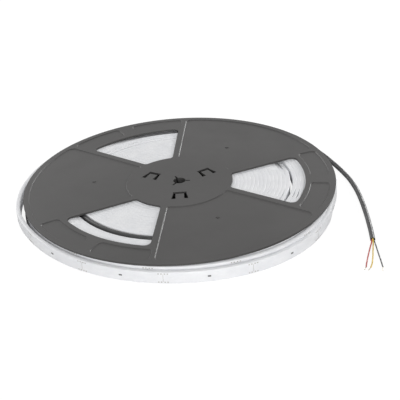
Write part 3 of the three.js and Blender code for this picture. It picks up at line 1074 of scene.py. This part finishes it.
def latchPlace(latch, side):
    # a latch faces +X where it is made
    away = math.radians(latch["azimuth"] - latch["facing"])
    turn = Matrix.Rotation(math.radians(side * latch["facing"]), 4, "Z")
    spot = (latchSlot["radius"] * math.cos(away), side * latchSlot["radius"] * math.sin(away), 0)
    return turn @ Matrix.Translation(spot)


def latchCut(bm, latch, side):
    # a grid of two by three cells, less the tongue's cell
    s = latchSlot
    block = bmesh.new()
    bmesh.ops.create_grid(block, x_segments=2, y_segments=3, size=1)
    half, wide = s["depth"] / 2, s["width"] / 2
    for v in block.verts:
        x = (-half, -half + s["bar"], half)[round(v.co.x) + 1]
        y = (-wide, -wide + s["leg"], wide - s["leg"], wide)[round((v.co.y + 1) * 1.5)]
        if x == half and abs(y) == wide:
            y += math.copysign(s["flare"], y)
        v.co = (x, y, cutBlock["below"])
    middles = {f: f.calc_center_median() for f in block.faces}
    tongue = max(block.faces, key=lambda f: middles[f].x - abs(middles[f].y))
    bmesh.ops.delete(block, geom=[tongue], context="FACES")
    raised = bmesh.ops.extrude_face_region(block, geom=block.faces[:])["geom"]
    top = [g for g in raised if isinstance(g, bmesh.types.BMVert)]
    bmesh.ops.translate(block, vec=(0, 0, cutBlock["above"] - cutBlock["below"]), verts=top)
    bmesh.ops.transform(block, matrix=latchPlace(latch, side), verts=block.verts)
    addTo(bm, block)


def hookBlocks(side):
    # an arm down from the tongue, with the barb drawn out of its lower end
    s = latchHook
    root = -latchSlot["depth"] / 2 + latchSlot["bar"]
    catchTop = -(stripMiddle + s["clearance"] / 2)
    armSide = -(s["thickness"] + s["catch"] / 2 + s["clearance"] / 2)
    bm = bmesh.new()
    for latch in latches:
        hook = bmesh.new()
        boxBlock(
            hook, (root, armSide, catchTop - s["barb"]),
            (root + s["width"], armSide + s["thickness"], -reelHalf["blockOver"]),
        )
        bmesh.ops.bisect_plane(
            hook, geom=hook.verts[:] + hook.edges[:] + hook.faces[:],
            plane_co=(0, 0, catchTop), plane_no=(0, 0, 1),
        )
        front = [
            f for f in hook.faces
            if f.normal.y > 0.9 and f.calc_center_median().z < catchTop
        ]
        drawn = bmesh.ops.extrude_face_region(hook, geom=front)["geom"]
        verts = [g for g in drawn if isinstance(g, bmesh.types.BMVert)]
        bmesh.ops.translate(hook, vec=(0, s["catch"], 0), verts=verts)
        bmesh.ops.delete(hook, geom=front, context="FACES_ONLY")
        bmesh.ops.transform(hook, matrix=latchPlace(latch, side), verts=hook.verts)
        addTo(bm, hook)
    return scratchObject(bm, "hookBlocks")


# After the blocks are joined and cut: points closer than this merge, faces flatter to each
# other than this become one, and all are first put in order along a slanting line
cleaning = {"mergeWithin": 0.002, "flatWithin": 0.5, "orderAlong": (1, 0.618034, 0.414214)}


def settleOrder(bm):
    # the modifiers give another order each run, and merging and dissolving depend on it
    along = Vector(cleaning["orderAlong"])
    bm.verts.sort(key=lambda v: v.co.dot(along))
    bm.edges.sort(key=lambda e: (e.verts[0].co + e.verts[1].co).dot(along))
    bm.faces.sort(key=lambda f: f.calc_center_median().dot(along))


def makeReelHalf(name, node, side):
    base = revolvedHalf()
    tools = [
        (ribBlocks(side), "UNION"),
        (cutBlocks(side), "DIFFERENCE"),
        (gateBlocks(side), "DIFFERENCE"),
        (hookBlocks(side), "UNION"),
    ]
    for tool, operation in tools:
        carve(base, tool, operation)
    depsgraph = bpy.context.evaluated_depsgraph_get()
    bm = bmesh.new()
    bm.from_mesh(base.evaluated_get(depsgraph).to_mesh())
    for thing in [base] + [tool for tool, operation in tools]:
        bpy.data.objects.remove(thing)
    settleOrder(bm)
    bmesh.ops.remove_doubles(bm, verts=bm.verts, dist=cleaning["mergeWithin"])
    settleOrder(bm)
    bmesh.ops.dissolve_limit(
        bm, angle_limit=math.radians(cleaning["flatWithin"]), use_dissolve_boundaries=False,
        verts=bm.verts, edges=bm.edges, delimit={"NORMAL"},
    )
    if side < 0:
        bmesh.ops.rotate(
            bm, cent=(0, 0, 0), matrix=Matrix.Rotation(math.pi, 3, "X"), verts=bm.verts
        )
    else:
        bmesh.ops.translate(bm, vec=(0, 0, reelHeight), verts=bm.verts)
    piece = finishPiece(bm, name, plastic)
    rounding = piece.modifiers.new("edgeRound", "BEVEL")
    rounding.width = reelHalf["edgeRound"] * mm
    rounding.segments = reelHalf["edgeSegments"]
    rounding.limit_method = "ANGLE"
    rounding.angle_limit = math.radians(reelHalf["edgeAngle"])
    rounding.harden_normals = True
    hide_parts(node)


makeReelHalf("upperReelHalf", "upper_reel_half", 1)
makeReelHalf("lowerReelHalf", "lower_reel_half", -1)
print("reel halves done")


# The solids that stay get their finishes

keptFinishes = {
    "inner_strip_start_cap": silicone,
    "inner_strip_lead_cap": silicone,
    "outer_strip_start_cap": silicone,
}
for colour, finish in insulation.items():
    keptFinishes["wound_lead_core_" + colour] = finish
    keptFinishes["wound_lead_wire_" + colour] = tinned
for node, finish in keptFinishes.items():
    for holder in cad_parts[node].material_slots:
        holder.material = finish


# Floor, white surroundings and lamps

surroundings = {
    "floorSize": 4,
    "floorColour": (0.9, 0.9, 0.9, 1),
    "floorWhite": 1.12,  # strength of the part that the camera sees as plain white
    "floorShare": 0.22,  # how much of the floor's look comes from the light on it
    "worldLight": 0.38,
    "backLamp": {"place": (-1.15, 1.35, 0.95), "size": (0.8, 0.8), "power": 12},
    "sideLamp": {"place": (1.15, 1.35, 0.45), "size": (0.7, 0.35), "power": 13.5},
    "topLamp": {"place": (0.2, -0.3, 2.2), "size": (1.2, 1.2), "power": 8},
    "frontLamp": {"place": (0.1, -2.0, 0.7), "size": (1.8, 1.4), "power": 26},
}


def makeFloor():
    s = surroundings
    bm = bmesh.new()
    bmesh.ops.create_grid(bm, x_segments=1, y_segments=1, size=s["floorSize"])
    mesh = bpy.data.meshes.new("floor")
    bm.to_mesh(mesh)
    bm.free()
    floor = bpy.data.objects.new("floor", mesh)
    scene.collection.objects.link(floor)
    material = bpy.data.materials.new("paleFloor")
    material.use_nodes = True
    material.node_tree.nodes.clear()
    lit = addNode(material, "ShaderNodeBsdfDiffuse", Color=s["floorColour"])
    white = addNode(material, "ShaderNodeEmission", Strength=s["floorWhite"])
    light = addNode(material, "ShaderNodeLightPath")
    share = addNode(material, "ShaderNodeMath")
    share.operation = "MULTIPLY"
    share.inputs[1].default_value = 1 - s["floorShare"]
    mix = addNode(material, "ShaderNodeMixShader")
    out = addNode(material, "ShaderNodeOutputMaterial")
    join(material, light.outputs["Is Camera Ray"], share.inputs[0])
    join(material, share.outputs[0], mix.inputs[0])
    join(material, lit.outputs[0], mix.inputs[1])
    join(material, white.outputs[0], mix.inputs[2])
    join(material, mix.outputs[0], out.inputs["Surface"])
    mesh.materials.append(material)


def makeWorld():
    world = bpy.data.worlds.new("studio")
    scene.world = world
    world.use_nodes = True
    nodes, links = world.node_tree.nodes, world.node_tree.links
    nodes.clear()
    dim = nodes.new("ShaderNodeBackground")
    dim.inputs["Strength"].default_value = surroundings["worldLight"]
    white = nodes.new("ShaderNodeBackground")
    path = nodes.new("ShaderNodeLightPath")
    shown = nodes.new("ShaderNodeMath")
    shown.operation = "MAXIMUM"
    alsoThrough = nodes.new("ShaderNodeMath")
    alsoThrough.operation = "MAXIMUM"
    mix = nodes.new("ShaderNodeMixShader")
    out = nodes.new("ShaderNodeOutputWorld")
    links.new(path.outputs["Is Camera Ray"], shown.inputs[0])
    links.new(path.outputs["Is Glossy Ray"], shown.inputs[1])
    links.new(shown.outputs[0], alsoThrough.inputs[0])
    links.new(path.outputs["Is Transmission Ray"], alsoThrough.inputs[1])
    links.new(alsoThrough.outputs[0], mix.inputs[0])
    links.new(dim.outputs[0], mix.inputs[1])
    links.new(white.outputs[0], mix.inputs[2])
    links.new(mix.outputs[0], out.inputs["Surface"])


def makeLamp(name):
    s = surroundings[name]
    lamp = bpy.data.lights.new(name, "AREA")
    lamp.shape = "RECTANGLE"
    lamp.size, lamp.size_y = s["size"]
    lamp.energy = s["power"]
    holder = bpy.data.objects.new(name, lamp)
    scene.collection.objects.link(holder)
    holder.location = s["place"]
    holder.rotation_euler = (-Vector(s["place"])).to_track_quat("-Z", "Y").to_euler()


makeFloor()
makeWorld()
for lampName in ("backLamp", "sideLamp", "topLamp", "frontLamp"):
    makeLamp(lampName)
scene.view_settings.view_transform = "Standard"
print("floor and lamps done")
